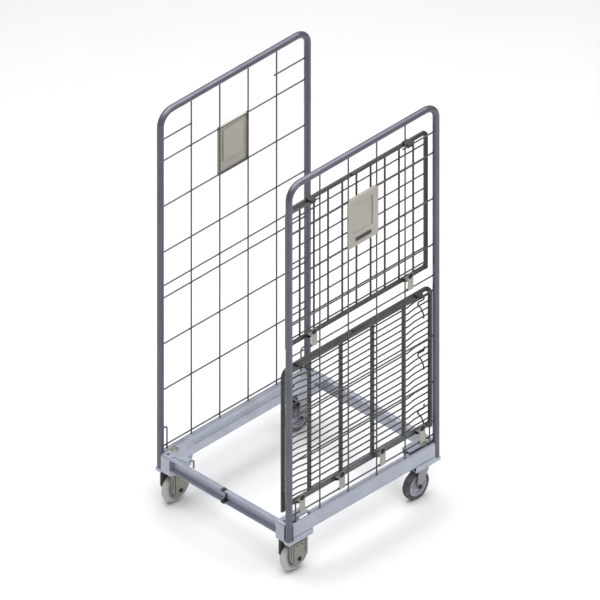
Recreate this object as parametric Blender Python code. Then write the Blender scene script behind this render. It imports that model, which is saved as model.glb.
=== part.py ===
"""Roll cage container: a steel base on two fixed and two swivel casters, two tube side panels filled
with welded wire, and a slatted deck and a mesh shelf that fold down from the right panel.

X runs from the left panel to the right one, Y from the front to the back, Z up from the floor.
The origin is on the floor under the middle of the cage. All lengths are in metres.
"""

import math

import bmesh
import bpy
from mathutils import Matrix, Vector

GAP = 0.0003  # between pieces that touch

# Side panels
PANEL_X = 0.3445
POST_Y = 0.394
TUBE_R = 0.0135
TUBE_WALL = 0.002
TUBE_TOP = 1.800
TUBE_BEND = 0.060
POST_FOOT = 0.165

# Wires of the side panels
WIRE_R = 0.003
CROSS_WIRE_SHIFT = 0.005
HINGE_WIRE_X = PANEL_X - CROSS_WIRE_SHIFT
UPRIGHT_WIRE_YS = (-0.2285, -0.076, 0.076, 0.2285)
TOP_WIRE_Z = 1.577
WIRE_PITCH = 0.2125
CROSS_WIRES = 6
STUB_WIRE_Z = 1.672
STUB_OVERHANG = 0.008
SHELF_HINGE_WIRE_Z = 1.0078
LEFT_WIRE_DROP = 0.0045
LEFT_MIDDLE_WIRE_Z = 0.9915
DECK_HINGE_WIRE_Z = 0.269
LEFT_BOTTOM_WIRE_Z = 0.250
CORNER_ROD_Z = 0.337
CORNER_ROD_REACH = 0.035

# Base
SHEET = 0.0025
PLATE = 0.003
RAIL_OUT = 0.3545
RAIL_BOTTOM = 0.175
RAIL_TOP = 0.2365
RAIL_STEP_Z = 0.228
RAIL_IN = 0.318
BRACKET_IN = 0.285
BRACKET_OUT = 0.3575
BRACKET_FRONT = 0.406
BRACKET_BACK = 0.270
BRACKET_TOP = RAIL_TOP
BRACKET_BOTTOM = 0.150
CROSSBAR_Y = 0.382
CROSSBAR_DEPTH = 0.0225
CROSSBAR_BOTTOM = 0.177
CROSSBAR_TOP = 0.2335
CLIP_SHEET = 0.0024
CLIP_HALF = 0.009
CLIP_STRIP_HALF = 0.004
LEDGE_IN = 0.2475
LEDGE_TAB_IN = 0.2245
LEDGE_TAB_YS = (0.346, 0.375)

# Casters
CASTER_X = 0.3175
KINGPIN_Y = 0.347
FIXED_WHEEL_Y = -0.345
SWIVEL_TRAIL = 0.035
WHEEL_R = 0.0625
TYRE_WIDTH = 0.030
HUB_R = 0.045
AXLE_R = 0.006
STEM_R = 0.008
STEM_CAP_R = 0.018
WHEEL_SIDES = 20

# Folding deck and shelf, stowed upright beside the right panel
FOLD_X = 0.312
FRAME_THICK = 0.009
FRAME_WIDTH = 0.018
FRAME_IN = FOLD_X - FRAME_THICK / 2
FRAME_OUT = FOLD_X + FRAME_THICK / 2
HINGE_WIDTH = 0.029
HINGE_SHEET = 0.0024
HINGE_PLAY = 0.0004
HINGE_EYE_RISE = 0.062
HINGE_EYE_R = 0.0075
HINGE_EYE_DEEP = 0.004
HINGE_FOOT = 0.009
DECK_END_Y = 0.394
DECK_TOP = 0.9475
DECK_BAR_Z = 0.3045
DECK_TAIL = 0.286
DECK_TOP_BAR = 0.029
DECK_BOTTOM_BAR = 0.024
DECK_CORNER = 0.034
DECK_SLAT_YS = (-0.253, -0.0845, 0.0845, 0.253)
DECK_SLAT_WIDTH = 0.016
DECK_WIRE_FIRST = 0.331
DECK_WIRE_PITCH = 0.0302
DECK_WIRES = 20
DECK_WIRE_OUT = FRAME_OUT + WIRE_R - 0.001
DECK_WIRE_END = FOLD_X - 0.001
DECK_HINGE_YS = (-0.322, -0.109, 0.109, 0.322)
DECK_CATCH_YS = (-0.325, 0.315)
DECK_CATCH_SIZE = (0.020, 0.013)
DECK_CATCH_WIRE_Z = TOP_WIRE_Z - 3 * WIRE_PITCH
DECK_GRIP = 0.052
SPRING_Y = 0.354
SPRING_ZS = (0.363, 0.629, 0.866)
SPRING_WIRE_R = 0.003
SHELF_END_Y = 0.371
SHELF_TOP = 1.677
SHELF_BAR_Z = 1.0425
SHELF_BAR = 0.020
SHELF_CORNER = 0.020
SHELF_ROD_R = 0.004
SHELF_RODS = 9
SHELF_WELD = 0.0015
SHELF_ROD_PITCH = 0.076
SHELF_WIRE_FIRST = 1.071
SHELF_WIRE_PITCH = 0.0686
SHELF_WIRES = 9
SHELF_HINGE_YS = (-0.258, 0.258)
SHELF_CATCH_YS = (-0.260, 0.260)
SHELF_CATCH_HALF = 0.013
SHELF_GRIP = 0.066
CATCH_MOUTH = WIRE_R + 0.0008
CATCH_TIP = PANEL_X + 0.0005

# Card holders
CARD_OUT = 0.0805
CARD_SHEET = 0.0015
CARD_LIP = 0.0012
POCKET_DOWN = 0.023
POCKET_SIZE = (0.102, 0.137)
POCKET_DEPTH = 0.0045

SIDES = {"left": -1, "right": 1}
ENDS = {"front": -1, "rear": 1}


# ---- outlines -------------------------------------------------------------------------------------

def arc(centre, radius, start, end, steps):
    """Points of an arc between two angles in degrees, both ends included."""
    points = []
    for i in range(steps + 1):
        angle = math.radians(start + (end - start) * i / steps)
        points.append((centre[0] + radius * math.cos(angle), centre[1] + radius * math.sin(angle)))
    return points


def rounded(points, radius, steps=4):
    """An open line whose inner corners are rounded."""
    line = [Vector(points[0])]
    for before, corner, after in zip(points, points[1:], points[2:]):
        before, corner, after = Vector(before), Vector(corner), Vector(after)
        inward = (before - corner).normalized()
        outward = (after - corner).normalized()
        half = inward.angle(outward) / 2
        reach = radius / math.tan(half)
        centre = corner + (inward + outward).normalized() * radius / math.sin(half)
        start = corner + inward * reach - centre
        end = corner + outward * reach - centre
        for i in range(steps + 1):
            line.append(centre + start.slerp(end, i / steps) * radius)
    line.append(Vector(points[-1]))
    return line


def rounded_box(half_width, half_height, radius, centre):
    """A closed rectangle with round corners."""
    points = []
    for quarter, (sx, sy) in enumerate(((1, 1), (-1, 1), (-1, -1), (1, -1))):
        middle = (centre[0] + sx * (half_width - radius), centre[1] + sy * (half_height - radius))
        points += arc(middle, radius, 90 * quarter, 90 * quarter + 90, 3)
    return points


def thickened(line, thickness):
    """The closed outline of a bent sheet: an open line and its offset to the left."""
    line = [Vector(point) for point in line]
    shifted = []
    for i, point in enumerate(line):
        ahead = (line[min(i + 1, len(line) - 1)] - point).normalized()
        behind = (point - line[max(i - 1, 0)]).normalized()
        ahead = ahead if i + 1 < len(line) else behind
        behind = behind if i else ahead
        left = Vector((-ahead.y - behind.y, ahead.x + behind.x)).normalized()
        reach = thickness / max(left.dot(Vector((-ahead.y, ahead.x))), 0.3)
        shifted.append(point + left * reach)
    return line + shifted[::-1]


# ---- solids ---------------------------------------------------------------------------------------

def finish(bm, name, smooth):
    """Turns a bmesh into an object whose faces point outwards."""
    bmesh.ops.remove_doubles(bm, verts=bm.verts, dist=1e-7)
    bmesh.ops.recalc_face_normals(bm, faces=bm.faces)
    mesh = bpy.data.meshes.new(name)
    bm.to_mesh(mesh)
    bm.free()
    if smooth:
        mesh.shade_smooth()
        mesh.set_sharp_from_angle(angle=math.radians(40))
    obj = bpy.data.objects.new(name, mesh)
    bpy.context.scene.collection.objects.link(obj)
    return obj


def prism(name, outline, axis, low, high, smooth=False):
    """A closed outline in the plane across an axis, extruded along that axis."""
    bm = bmesh.new()
    order = {"X": (2, 0, 1), "Y": (0, 2, 1), "Z": (0, 1, 2)}[axis]
    loops = []
    for level in (low, high):
        loop = []
        for point in outline:
            flat = (point[0], point[1], level)
            loop.append(bm.verts.new([flat[i] for i in order]))
        loops.append(loop)
    bm.faces.new(loops[0])
    bm.faces.new(loops[1][::-1])
    for i in range(len(outline)):
        j = (i + 1) % len(outline)
        bm.faces.new((loops[0][i], loops[1][i], loops[1][j], loops[0][j]))
    return finish(bm, name, smooth)


def box(name, xs, ys, zs):
    """A block between two values on each axis."""
    outline = [(xs[0], ys[0]), (xs[1], ys[0]), (xs[1], ys[1]), (xs[0], ys[1])]
    return prism(name, outline, "Z", zs[0], zs[1])


def circle(radius, sides, phase=0.5):
    """A closed polygon round the origin, with a flat at the bottom when phase is a half."""
    points = []
    for i in range(sides):
        angle = 2 * math.pi * (i + phase) / sides
        points.append((radius * math.cos(angle), radius * math.sin(angle)))
    return points


def bar(name, path, sections, normal, smooth=True):
    """Sections swept along a path that lies across the normal. A second section makes a hollow bar."""
    bm = bmesh.new()
    path = [Vector(point) for point in path]
    normal = Vector(normal)
    skins = []
    for section in sections:
        rings = []
        for i, point in enumerate(path):
            ahead = (path[min(i + 1, len(path) - 1)] - point).normalized()
            behind = (point - path[max(i - 1, 0)]).normalized()
            ahead = ahead if i + 1 < len(path) else behind
            behind = behind if i else ahead
            side = (ahead + behind).normalized().cross(normal)
            stretch = 1 / side.dot(ahead.cross(normal))
            rings.append([bm.verts.new(point + normal * a + side * b * stretch) for a, b in section])
        skins.append(rings)
        for ring, following in zip(rings, rings[1:]):
            for i in range(len(section)):
                j = (i + 1) % len(section)
                bm.faces.new((ring[i], ring[j], following[j], following[i]))
    for end in (0, -1):
        if len(skins) == 1:
            bm.faces.new(skins[0][end])
            continue
        outer, inner = skins[0][end], skins[1][end]
        for i in range(len(outer)):
            j = (i + 1) % len(outer)
            bm.faces.new((outer[i], outer[j], inner[j], inner[i]))
    return finish(bm, name, smooth)


def rod(name, path, radius, normal, sides=6):
    """A round wire or rod along a path."""
    return bar(name, path, [circle(radius, sides)], normal)


def grid_rod(path, radius, normal):
    """A rod of the deck or shelf mesh, as a square of the round wire's area."""
    return rod("rod", path, radius * math.sqrt(math.pi / 2), normal, 4)


def turned(name, profile, axis, centre, sides, closed):
    """A profile of (radius, place along the axis) points turned round the axis through the centre."""
    bm = bmesh.new()
    rings = []
    for radius, along in profile:
        ring = []
        for u, v in circle(radius, sides):
            local = (along, u, v) if axis == "X" else (u, v, along)
            ring.append(bm.verts.new(Vector(local) + Vector(centre)))
        rings.append(ring)
    pairs = list(zip(rings, rings[1:]))
    if closed:
        pairs.append((rings[-1], rings[0]))
    else:
        bm.faces.new(rings[0])
        bm.faces.new(rings[-1])
    for ring, following in pairs:
        for i in range(sides):
            j = (i + 1) % sides
            bm.faces.new((ring[i], ring[j], following[j], following[i]))
    return finish(bm, name, True)


def joined(pieces):
    """One helper object that holds several separate shapes."""
    bm = bmesh.new()
    for piece in pieces:
        bm.from_mesh(piece.data)
        bpy.data.objects.remove(piece)
    return finish(bm, "helper", False)


def combine(obj, pieces, operation):
    """Adds a Boolean with the pieces, which are kept as one hidden helper."""
    helper = joined(pieces)
    helper.name = f"{obj.name}_{operation.lower()}"
    helper.hide_render = True
    helper.display_type = "WIRE"
    modifier = obj.modifiers.new(operation.title(), "BOOLEAN")
    modifier.operation = operation
    modifier.object = helper
    modifier.solver = "EXACT"
    modifier.use_self = operation == "UNION"
    return obj


def fuse(obj, pieces):
    return combine(obj, pieces, "UNION")


def cut(obj, pieces):
    return combine(obj, pieces, "DIFFERENCE")


# ---- materials ------------------------------------------------------------------------------------

def material(name, colour, roughness, metallic):
    made = bpy.data.materials.new(name)
    made.use_nodes = True
    shader = made.node_tree.nodes["Principled BSDF"]
    shader.inputs["Base Color"].default_value = (*colour, 1.0)
    shader.inputs["Roughness"].default_value = roughness
    shader.inputs["Metallic"].default_value = metallic
    return made


def zinc_sheet():
    return material("zinc_sheet", (0.60, 0.61, 0.72), 0.42, 0.6)


def zinc_tube():
    return material("zinc_tube", (0.36, 0.36, 0.43), 0.38, 0.6)


def zinc_wire():
    return material("zinc_wire", (0.25, 0.25, 0.24), 0.45, 0.6)


def dark_steel():
    return material("dark_steel", (0.13, 0.13, 0.12), 0.50, 0.5)


def card_plate():
    return material("card_plate", (0.54, 0.51, 0.45), 0.55, 0.1)


def black_plastic():
    return material("black_plastic", (0.03, 0.03, 0.03), 0.50, 0.0)


def pressed_steel():
    return material("pressed_steel", (0.33, 0.33, 0.29), 0.45, 0.5)


def pale_rubber():
    return material("pale_rubber", (0.62, 0.62, 0.60), 0.70, 0.0)


def dark_rubber():
    return material("dark_rubber", (0.06, 0.06, 0.07), 0.75, 0.0)


def hub_nylon():
    return material("hub_nylon", (0.48, 0.48, 0.54), 0.50, 0.0)


def caster_zinc():
    return material("caster_zinc", (0.52, 0.52, 0.57), 0.40, 0.6)


def axle_steel():
    return material("axle_steel", (0.10, 0.07, 0.06), 0.40, 0.7)


def paint(obj, made):
    obj.data.materials.append(made)
    return obj


def hold(obj, axis):
    """Parents a moving piece to the empty on its joint's axis, without moving it."""
    obj.parent = axis
    obj.matrix_parent_inverse = Matrix.Translation(-axis.location)


def empty(name, place, parent=None):
    made = bpy.data.objects.new(name, None)
    bpy.context.scene.collection.objects.link(made)
    made.location = place
    if parent:
        hold(made, parent)
    return made


# ---- side panels ----------------------------------------------------------------------------------

def panel_tube(side, sign):
    corner = [(-POST_Y, POST_FOOT), (-POST_Y, TUBE_TOP), (POST_Y, TUBE_TOP), (POST_Y, POST_FOOT)]
    path = [(sign * PANEL_X, y, z) for y, z in rounded(corner, TUBE_BEND, 5)]
    sections = [circle(TUBE_R, 12), circle(TUBE_R - TUBE_WALL, 12)]
    paint(bar(f"{side}_panel_tube", path, sections, (1, 0, 0)), zinc_tube())


def top_wire(sign):
    return TOP_WIRE_Z if sign > 0 else TOP_WIRE_Z - LEFT_WIRE_DROP


def cross_wire(sign, low, high, z):
    x = sign * PANEL_X - CROSS_WIRE_SHIFT
    return rod("wire", [(x, low, z), (x, high, z)], WIRE_R, (1, 0, 0))


def panel_wires(side, sign):
    """The welded wires inside one tube: uprights, and cross wires on the side that faces left."""
    x = sign * PANEL_X
    end = POST_Y - TUBE_R - GAP
    foot = RAIL_TOP + GAP
    head = TUBE_TOP - TUBE_R - GAP
    pieces = [rod("wire", [(x, y, foot), (x, y, head)], WIRE_R, (1, 0, 0)) for y in UPRIGHT_WIRE_YS]
    heights = [top_wire(sign) - i * WIRE_PITCH for i in range(CROSS_WIRES)]
    heights.append(SHELF_HINGE_WIRE_Z if sign > 0 else LEFT_MIDDLE_WIRE_Z)
    heights.append(DECK_HINGE_WIRE_Z if sign > 0 else LEFT_BOTTOM_WIRE_Z)
    pieces += [cross_wire(sign, -end, end, z) for z in heights]
    for way in ENDS.values():
        inner = way * (UPRIGHT_WIRE_YS[-1] - STUB_OVERHANG)
        pieces.append(cross_wire(sign, *sorted((inner, way * end)), STUB_WIRE_Z))
        knee = way * (POST_Y - CORNER_ROD_REACH)
        path = rounded([(way * end, CORNER_ROD_Z), (knee, CORNER_ROD_Z), (knee, foot)], 0.010, 2)
        pieces.append(rod("corner", [(x, y, z) for y, z in path], WIRE_R, (1, 0, 0)))
    first = pieces.pop(0)
    first.name = f"{side}_panel_wires"
    paint(fuse(first, pieces), zinc_wire())


def card_holder(side, sign):
    """A pressed plate over one cell of the wires, with a pocket sunk in its outer face."""
    def across(low, high):
        return sorted((sign * low, sign * high))

    cross_x = PANEL_X - sign * CROSS_WIRE_SHIFT
    inner = max(cross_x, PANEL_X) + WIRE_R + 0.0004
    face = inner + CARD_SHEET
    top = top_wire(sign) + WIRE_R + GAP
    bottom = top_wire(sign) - WIRE_PITCH - WIRE_R - GAP
    wide, tall = POCKET_SIZE
    middle = top_wire(sign) - POCKET_DOWN - tall / 2
    plate = box(f"{side}_card_holder", across(inner, face), (-CARD_OUT, CARD_OUT),
                (bottom - CARD_LIP, top + CARD_LIP))
    back = inner - POCKET_DEPTH
    seam = inner + 0.0002
    pan = rounded_box(wide / 2 + CARD_SHEET, tall / 2 + CARD_SHEET, 0.007, (0, middle))
    pieces = [prism("pan", pan, "X", *across(back, seam))]
    between = (bottom + 2 * (WIRE_R + GAP), top - 2 * (WIRE_R + GAP))
    for way in (-1, 1):
        edge = sorted((way * (CARD_OUT - CARD_LIP), way * CARD_OUT))
        pieces.append(box("lip", across(inner - 0.005, seam), edge, between))
    for low in (bottom - CARD_LIP, top):
        pieces.append(box("lip", across(cross_x - WIRE_R, seam), (-0.072, 0.072), (low, low + CARD_LIP)))
    fuse(plate, pieces)
    pocket = rounded_box(wide / 2, tall / 2, 0.0055, (0, middle))
    cut(plate, [prism("pocket", pocket, "X", *across(back + CARD_SHEET, face + 0.01))])
    paint(plate, card_plate())
    strip_z = middle - tall / 2 - 0.027
    strip = rounded_box(0.042, 0.0085, 0.002, (0, strip_z))
    strip_x = across(face + GAP, face + GAP + 0.001)
    paint(prism(f"{side}_card_strip", strip, "X", *strip_x), black_plastic())


# ---- base -----------------------------------------------------------------------------------------

def rail(side, sign):
    """A folded side rail: outer web, round edge, narrow land, step down and inner web."""
    edge = arc((RAIL_OUT - 0.008, RAIL_TOP - 0.008), 0.008, 0, 90, 4)
    line = [(0.331, RAIL_BOTTOM), (RAIL_OUT, RAIL_BOTTOM), *edge, (0.3425, RAIL_TOP)]
    line += [(0.334, RAIL_STEP_Z), (RAIL_IN, RAIL_STEP_Z), (RAIL_IN, 0.205)]
    outline = [(sign * x, z) for x, z in thickened(line, SHEET)]
    end = POST_Y - TUBE_R - GAP
    made = prism(f"{side}_rail", outline, "Y", -end, end)
    clear = []
    for way in ENDS.values():
        ys = sorted((way * (BRACKET_BACK - 0.002), way * 0.40))
        clear.append(box("clear", sorted((sign * 0.300, sign * 0.3365)), ys, (0.19, 0.23)))
    paint(cut(made, clear), zinc_sheet())


def left_ledge():
    """The flat inner flange of the left side, with a tab at each end."""
    end = CROSSBAR_Y - GAP
    low, high = LEDGE_TAB_YS
    outer = -(BRACKET_IN - GAP)
    half = [(outer, end), (-LEDGE_IN, end), (-LEDGE_IN, high), (-LEDGE_TAB_IN, high)]
    half += [(-LEDGE_TAB_IN, low + 0.004), (-LEDGE_TAB_IN - 0.004, low), (-LEDGE_IN, low)]
    outline = half + [(x, -y) for x, y in half[::-1]]
    paint(prism("left_ledge", outline, "Z", RAIL_TOP - PLATE, RAIL_TOP), zinc_sheet())


def ledge_pin():
    """The bent rod under the front tab of the ledge."""
    x, y = -0.2195, -0.3405
    z = RAIL_TOP - PLATE - GAP - 0.004
    path = [(x - 0.014, y - 0.014, z), (x - 0.003, y - 0.003, z), (x, y, z - 0.003), (x, y, 0.195)]
    paint(rod("ledge_pin", path, 0.004, Vector((1, -1, 0)).normalized(), 8), pressed_steel())


def crossbar(end, way):
    """A channel between the corner brackets, open to the outside."""
    front = CROSSBAR_Y + CROSSBAR_DEPTH
    line = [(front, CROSSBAR_TOP), (CROSSBAR_Y, CROSSBAR_TOP)]
    line += [(CROSSBAR_Y, CROSSBAR_BOTTOM), (front, CROSSBAR_BOTTOM)]
    outline = [(way * y, z) for y, z in thickened(rounded(line, 0.004, 2), SHEET)]
    reach = BRACKET_IN - GAP
    paint(prism(f"{end}_crossbar", outline, "X", -reach, reach), zinc_sheet())


def crossbar_clip():
    """The black clip of the front crossbar: a jaw round each flange and a narrow strip by the web."""
    lip = CROSSBAR_Y + CROSSBAR_DEPTH + GAP
    root = CROSSBAR_Y + 0.006
    strip = CROSSBAR_Y + SHEET + 0.0015
    low, high = CROSSBAR_BOTTOM - GAP, CROSSBAR_TOP + GAP
    inner_low, inner_high = CROSSBAR_BOTTOM + SHEET + GAP, CROSSBAR_TOP - SHEET - GAP
    line = [(-root, low), (-lip, low), (-lip, inner_low), (-strip, inner_low)]
    line += [(-strip, inner_high), (-lip, inner_high), (-lip, high), (-root, high)]
    made = prism("crossbar_clip", thickened(line, CLIP_SHEET), "X", -CLIP_HALF, CLIP_HALF)
    between = (inner_low + 0.006, inner_high - 0.006)
    beside = (-strip - 0.008, -strip + 0.001)
    windows = [box("window", sorted((way * CLIP_STRIP_HALF, way * 0.02)), beside, between) for way in (-1, 1)]
    paint(cut(made, windows), black_plastic())


def corner_bracket(end, side, way, sign):
    """The pressed corner that carries a caster below and a post foot outside."""
    def across(low, high):
        return sorted((sign * low, sign * high))

    def along(low, high):
        return sorted((way * low, way * high))

    post_in = PANEL_X - TUBE_R - GAP - 0.0002
    post_back = POST_Y - TUBE_R - GAP
    corners = [(BRACKET_BACK, BRACKET_TOP), (BRACKET_FRONT, BRACKET_TOP)]
    corners += [(BRACKET_FRONT, BRACKET_BOTTOM), (0.290, BRACKET_BOTTOM)]
    line = rounded(corners, 0.012, 3)
    shell = [(way * y, z) for y, z in thickened(line, -PLATE)]
    wall = [(way * y, z) for y, z in line]
    floor = (BRACKET_BOTTOM, BRACKET_BOTTOM + PLATE)
    skirt = (BRACKET_BOTTOM, RAIL_BOTTOM - GAP)
    made = prism(f"{end}_{side}_bracket", shell, "X", *across(BRACKET_IN, post_in))
    fuse(made, [
        prism("wall", wall, "X", *across(BRACKET_IN, BRACKET_IN + PLATE)),
        box("floor", across(post_in - 0.001, BRACKET_OUT), along(0.277, post_back), floor),
        box("skirt", across(BRACKET_OUT - PLATE, BRACKET_OUT), along(0.277, post_back), skirt),
        box("foot", across(post_in - 0.001, BRACKET_OUT), along(post_back - 0.001, 0.4065),
            (BRACKET_BOTTOM, POST_FOOT - GAP)),
    ])
    x, y = sign * CASTER_X, way * KINGPIN_Y
    cut(made, [
        turned("seat", [(0.0187, 0.230), (0.0187, 0.245)], "Z", (x, y, 0), 16, False),
        turned("hole", [(0.0055, 0.230), (0.0055, 0.245)], "Z",
               (sign * 0.3105, way * 0.386, 0), 12, False),
        turned("bore", [(STEM_R + 0.0006, 0.14), (STEM_R + 0.0006, 0.16)], "Z", (x, y, 0), 16, False),
    ])
    paint(made, zinc_sheet())


# ---- casters --------------------------------------------------------------------------------------

def stem(name, x, y, head_z, race):
    """The bolt that holds a caster to its bracket, from the head under the fork to the cap on top."""
    profile = [(0.013, head_z), (0.013, head_z + 0.0055), (STEM_R, head_z + 0.0055)]
    if race:
        low = BRACKET_BOTTOM - GAP - 0.007
        profile += [(STEM_R, low), (0.027, low), (0.027, low + 0.007), (STEM_R, low + 0.007)]
    profile += [(STEM_R, 0.2310), (STEM_CAP_R, 0.2310), (STEM_CAP_R, 0.2350), (0.016, 0.2362)]
    paint(turned(name, profile, "Z", (x, y, 0), 14, False), pressed_steel())


def wheel(name, centre, rubber, axis):
    """A tyre and its hub, turned round the axle."""
    fit = math.cos(math.pi / WHEEL_SIDES)
    half = TYRE_WIDTH / 2
    crown = WHEEL_R / fit
    seat = (HUB_R + GAP) / fit
    tread = [(seat, -half), (crown - 0.008, -half), (crown, -0.006)]
    tread += [(radius, -along) for radius, along in tread[::-1]]
    tyre = turned(f"{name}_tyre", tread, "X", centre, WHEEL_SIDES, True)
    hold(paint(tyre, rubber), axis)
    bore = (AXLE_R + 0.0003) / fit
    disc = [(bore, -0.014), (0.017, -0.014), (0.020, -0.006), (HUB_R, -0.013)]
    disc += [(radius, -along) for radius, along in disc[::-1]]
    hub = turned(f"{name}_hub", disc, "X", centre, WHEEL_SIDES, True)
    hold(paint(hub, hub_nylon()), axis)


def axle(name, centre, cheek_out, axis=None):
    """A bolt through the wheel with a head outside each cheek."""
    inner = cheek_out + GAP
    profile = [(0.0085, -inner - 0.005), (0.0095, -inner - 0.004), (0.0095, -inner), (AXLE_R, -inner)]
    profile += [(radius, -along) for radius, along in profile[::-1]]
    made = paint(turned(name, profile, "X", centre, 10, False), axle_steel())
    if axis:
        hold(made, axis)


def fixed_caster(side, sign):
    """A pressed housing with a flat panel and ribs on each cheek, and its wheel."""
    name = f"front_{side}"
    x, y = sign * CASTER_X, FIXED_WHEEL_Y
    top = BRACKET_BOTTOM - GAP
    inside, outside, panel = 0.0285, 0.0315, 0.0345
    housing = box(f"{name}_housing", (x - outside, x + outside), (y - 0.047, y + 0.047), (top - 0.005, top))
    cheek = [(y - 0.047, top), (y - 0.047, 0.078), (y - 0.026, 0.040), (y + 0.026, 0.040)]
    cheek += [(y + 0.047, 0.066), (y + 0.047, top)]
    pieces = []
    for way in (-1, 1):
        pieces.append(prism("cheek", cheek, "X", *sorted((x + way * inside, x + way * outside))))
        flat = rounded_box(0.027, 0.046, 0.006, (y, 0.092))
        pieces.append(prism("flat", flat, "X", *sorted((x + way * (outside - 0.001), x + way * panel))))
        for rib_y in (y - 0.037, y + 0.037):
            xs = sorted((x + way * (outside - 0.001), x + way * (panel - 0.0005)))
            pieces.append(box("rib", xs, (rib_y - 0.003, rib_y + 0.003), (0.080, 0.140)))
    fuse(housing, pieces)
    holes = [
        turned("axle", [(AXLE_R + 0.0006, -0.04), (AXLE_R + 0.0006, 0.04)], "X", (x, y, WHEEL_R), 12, False),
        turned("stem", [(STEM_R + 0.0006, 0.13), (STEM_R + 0.0006, 0.16)], "Z",
               (x, -KINGPIN_Y, 0), 16, False),
    ]
    paint(cut(housing, holes), pressed_steel())
    stem(f"{name}_stem", x, -KINGPIN_Y, top - 0.005 - GAP - 0.0055, False)
    axle(f"{name}_axle", (x, y, WHEEL_R), panel)
    spin = empty(f"{name}_wheel_axis", (x, y, WHEEL_R))
    wheel(name, (x, y, WHEEL_R), pale_rubber(), spin)


def swivel_caster(side, sign):
    """A fork that turns on the kingpin, and its trailing wheel."""
    name = f"rear_{side}"
    x, y = sign * CASTER_X, KINGPIN_Y
    wheel_y = y - SWIVEL_TRAIL
    top = BRACKET_BOTTOM - 2 * GAP - 0.007
    low = top - 0.006
    inside, outside = 0.0195, 0.0235
    swivel = empty(f"{name}_swivel_axis", (x, y, 0))
    crown = turned(f"{name}_fork", [(0.027, low), (0.027, top)], "Z", (x, y, 0), 20, False)
    leg = [(y + 0.016, top), (y + 0.012, low - 0.010)]
    leg += arc((wheel_y, WHEEL_R), 0.013, -10, -180, 5)
    leg += [(wheel_y - 0.011, WHEEL_R + 0.030), (y - 0.040, top)]
    pieces = [prism("leg", leg, "X", *sorted((x + way * inside, x + way * outside))) for way in (-1, 1)]
    pieces.append(box("yoke", (x - outside, x + outside), (y - 0.040, y + 0.014), (low, top)))
    fuse(crown, pieces)
    holes = [
        turned("axle", [(AXLE_R + 0.0006, -0.04), (AXLE_R + 0.0006, 0.04)], "X",
               (x, wheel_y, WHEEL_R), 12, False),
        turned("stem", [(STEM_R + 0.0006, 0.12), (STEM_R + 0.0006, 0.16)], "Z", (x, y, 0), 16, False),
    ]
    hold(paint(cut(crown, holes), caster_zinc()), swivel)
    stem(f"{name}_kingpin", x, y, low - GAP - 0.0055, True)
    axle(f"{name}_axle", (x, wheel_y, WHEEL_R), outside, swivel)
    spin = empty(f"{name}_wheel_axis", (x, wheel_y, WHEEL_R), swivel)
    wheel(name, (x, wheel_y, WHEEL_R), dark_rubber(), spin)


# ---- folding deck and shelf -----------------------------------------------------------------------

def hinge_clip(name, y, bar_z, wire_z, axis):
    """A round-headed plate hooked under a wire of the right panel, with a foot on the bottom bar."""
    play = WIRE_R + HINGE_PLAY
    face = HINGE_WIRE_X + play
    half = HINGE_WIDTH / 2
    eye_z = wire_z + HINGE_EYE_RISE
    line = [(face, eye_z), *arc((HINGE_WIRE_X, wire_z), play, 0, -200, 10)]
    made = prism(name, thickened(line, HINGE_SHEET), "Y", y - half, y + half)
    head = [(y - half, eye_z - 0.002), (y + half, eye_z - 0.002), *arc((y, eye_z), half, 0, 180, 12)]
    top = bar_z + HINGE_FOOT
    foot = [(face + 0.001, top), (FRAME_OUT + GAP, top), (FRAME_OUT + GAP, bar_z - HINGE_FOOT)]
    eye = [(y + u, eye_z + v) for u, v in circle(HINGE_EYE_R, 14)]
    back = face + HINGE_SHEET
    fuse(made, [
        prism("head", head, "X", face, back),
        prism("foot", thickened(foot, HINGE_SHEET), "Y", y - half + 0.002, y + half - 0.002),
        prism("eye", eye, "X", back - 0.001, back + HINGE_EYE_DEEP),
    ])
    hold(paint(made, pressed_steel()), axis)


def deck_catch(name, y, axis):
    """A small black catch on the outer face of the top bar, open to a wire of the right panel."""
    wide, tall = DECK_CATCH_SIZE
    z = DECK_CATCH_WIRE_Z
    seat = FRAME_OUT + GAP
    back = HINGE_WIRE_X - CATCH_MOUTH
    outline = [(seat, z + tall / 2), (CATCH_TIP - 0.001, z + tall / 2), (CATCH_TIP, z + CATCH_MOUTH)]
    outline += [(back, z + CATCH_MOUTH), (back, z - CATCH_MOUTH), (CATCH_TIP, z - CATCH_MOUTH)]
    outline += [(CATCH_TIP - 0.001, z - tall / 2), (seat, z - tall / 2)]
    hold(paint(prism(name, outline, "Y", y - wide / 2, y + wide / 2), black_plastic()), axis)


def shelf_catch(name, y, axis):
    """A black catch that caps the top bar and holds a wire of the right panel in its mouth."""
    z = STUB_WIRE_Z
    seat = FRAME_OUT + GAP
    cap = SHELF_TOP + 0.0045
    back = HINGE_WIRE_X - CATCH_MOUTH
    outline = [(FRAME_IN, SHELF_TOP + GAP), (FRAME_IN, cap - 0.002), (FRAME_IN + 0.002, cap)]
    outline += [(CATCH_TIP - 0.003, cap), (CATCH_TIP, cap - 0.003)]
    outline += [(CATCH_TIP, z + CATCH_MOUTH), (back, z + CATCH_MOUTH)]
    outline += [(back, z - CATCH_MOUTH), (CATCH_TIP - 0.001, z - CATCH_MOUTH)]
    outline += [(CATCH_TIP - 0.004, z - 0.008), (seat, z - 0.010), (seat, SHELF_TOP + GAP)]
    made = prism(name, outline, "Y", y - SHELF_CATCH_HALF, y + SHELF_CATCH_HALF)
    hold(paint(made, black_plastic()), axis)


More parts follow.
